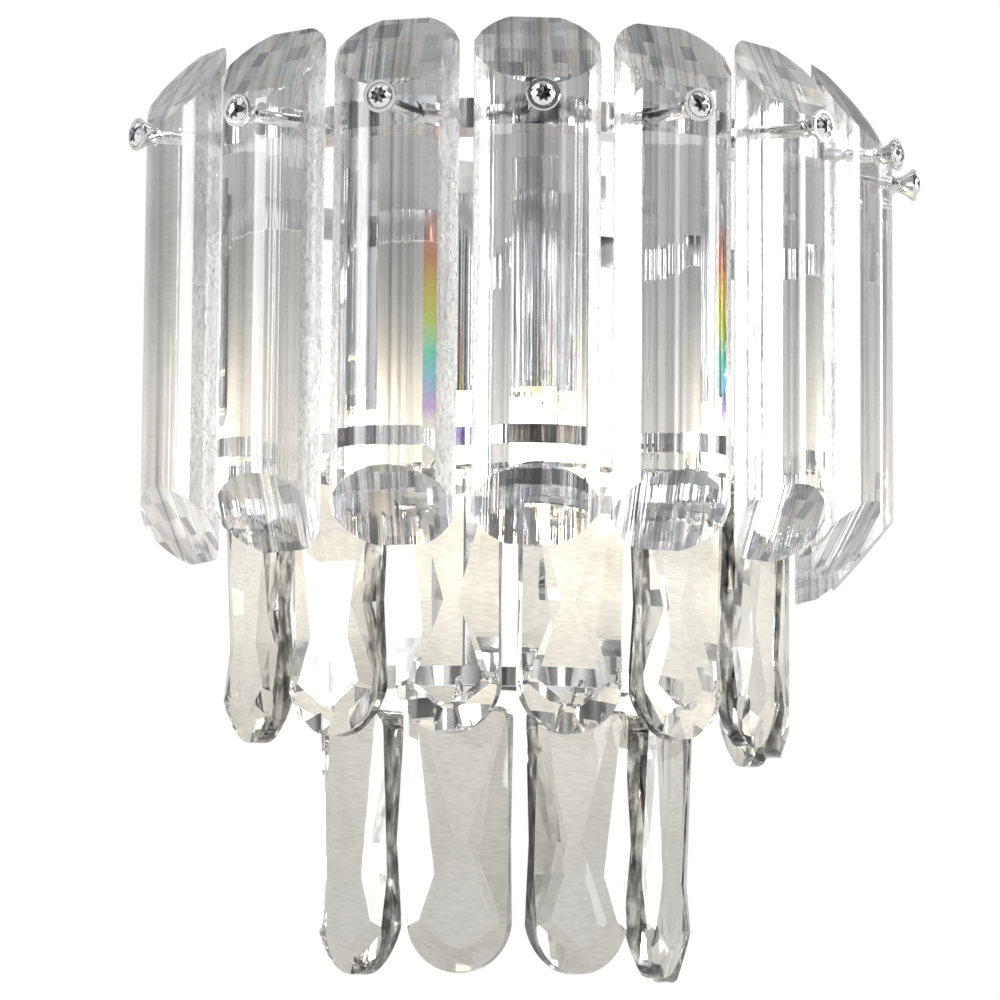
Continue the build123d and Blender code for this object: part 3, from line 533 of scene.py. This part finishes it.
around = ramp(tree, turn, [
    (0.0, g(0.10)), (az(-170), g(0.10)), (az(-160), g(0.75)), (az(-138), g(0.95)),
    (az(-132), g(0.30)), (az(-118), g(0.14)), (az(-112), g(0.95)), (az(-98), g(1.0)),
    (az(-92), g(0.10)), (az(-84), g(0.12)), (az(-78), g(1.0)), (az(-62), g(0.9)),
    (az(-52), g(0.25)), (az(-44), g(0.3)), (az(-34), g(0.75)), (az(-12), g(0.6)),
    (az(8), g(0.62)), (az(30), g(0.7)), (az(42), g(0.95)), (az(58), g(0.9)),
    (az(66), g(0.16)), (az(76), g(0.12)), (az(84), g(1.0)), (az(100), g(1.0)),
    (az(106), g(0.12)), (az(118), g(0.18)), (az(126), g(1.0)), (az(142), g(0.9)),
    (az(150), g(0.2)), (az(160), g(0.8)), (az(171), g(0.10)), (1.0, g(0.10))])
strips = ramp(tree, turn, [
    (0.0, g(0.0)), (az(-125), g(0.0)), (az(-122), g(1.0)), (az(-109), g(1.0)),
    (az(-106), g(0.0)), (az(80), g(0.0)), (az(83), g(1.0)), (az(92), g(1.0)),
    (az(95), g(0.0)), (az(136), g(0.0)), (az(138), g(0.35)), (az(142), g(0.35)),
    (az(144), g(0.0)), (1.0, g(0.0))])
window = ramp(tree, height, [
    (0.0, g(0.0)), (0.36, g(0.0)), (0.42, g(1.0)), (0.82, g(1.0)), (0.88, g(0.0)), (1.0, g(0.0))])
up_down = ramp(tree, height, [
    (0.0, g(0.62, (1.0, 0.98, 0.94))), (0.30, g(0.8, (1.0, 0.99, 0.97))),
    (0.40, g(0.55)), (0.46, g(0.9)), (0.5, g(1.0)), (0.60, g(1.0)), (0.66, g(0.45)),
    (0.71, g(0.5)), (0.78, g(1.2)), (0.92, g(1.25)), (1.0, g(0.7))])


def blend(kind, a, b):
    node = tree.nodes.new("ShaderNodeMix")
    node.data_type = "RGBA"
    node.blend_type = kind
    node.clamp_result = False
    node.inputs["Factor"].default_value = 1.0
    for socket, v in (("A", a), ("B", b)):
        if isinstance(v, tuple):
            node.inputs[socket].default_value = v
        else:
            tree.links.new(v, node.inputs[socket])
    return node.outputs["Result"]


soft = blend("MULTIPLY", around, up_down)
hot = blend("MULTIPLY", blend("MULTIPLY", strips, window), (11.0, 11.0, 11.0, 1.0))
mixed_light = blend("ADD", soft, hot)
studio = tree.nodes.new("ShaderNodeBackground")
tree.links.new(mixed_light, studio.inputs["Color"])
white = tree.nodes.new("ShaderNodeBackground")
white.inputs["Color"].default_value = (1, 1, 1, 1)
path = tree.nodes.new("ShaderNodeLightPath")
mix = tree.nodes.new("ShaderNodeMixShader")
tree.links.new(path.outputs["Is Camera Ray"], mix.inputs["Fac"])
tree.links.new(studio.outputs[0], mix.inputs[1])
tree.links.new(white.outputs[0], mix.inputs[2])
tree.links.new(mix.outputs[0], out.inputs["Surface"])

# camera
PSI, EPS, ROLL, DIST = math.radians(VIEW_TURN), math.radians(7.8), math.radians(0.45), 1.877
target = Vector((0, -0.020, -0.081))
away = Vector((-math.sin(PSI) * math.cos(EPS), -math.cos(PSI) * math.cos(EPS), -math.sin(EPS)))
forward = -away
right = forward.cross(Vector((0, 0, 1))).normalized()
upward = right.cross(forward)
right_r = math.cos(ROLL) * right + math.sin(ROLL) * upward
up_r = -math.sin(ROLL) * right + math.cos(ROLL) * upward
cam_data = bpy.data.cameras.new("camera")
cam_data.sensor_width = 36.0
cam_data.lens = 4.881 * 36.0
cam_data.clip_start, cam_data.clip_end = 0.01, 50
camera = bpy.data.objects.new("camera", cam_data)
scene.collection.objects.link(camera)
turned = Matrix((right_r, up_r, -forward)).transposed().to_4x4()
camera.matrix_world = Matrix.Translation(target + away * DIST) @ turned
scene.camera = camera

scene.view_settings.view_transform = "Standard"
scene.cycles.max_bounces = 24
scene.cycles.transmission_bounces = 24
scene.cycles.glossy_bounces = 8
scene.cycles.diffuse_bounces = 3
scene.cycles.sample_clamp_indirect = 12.0
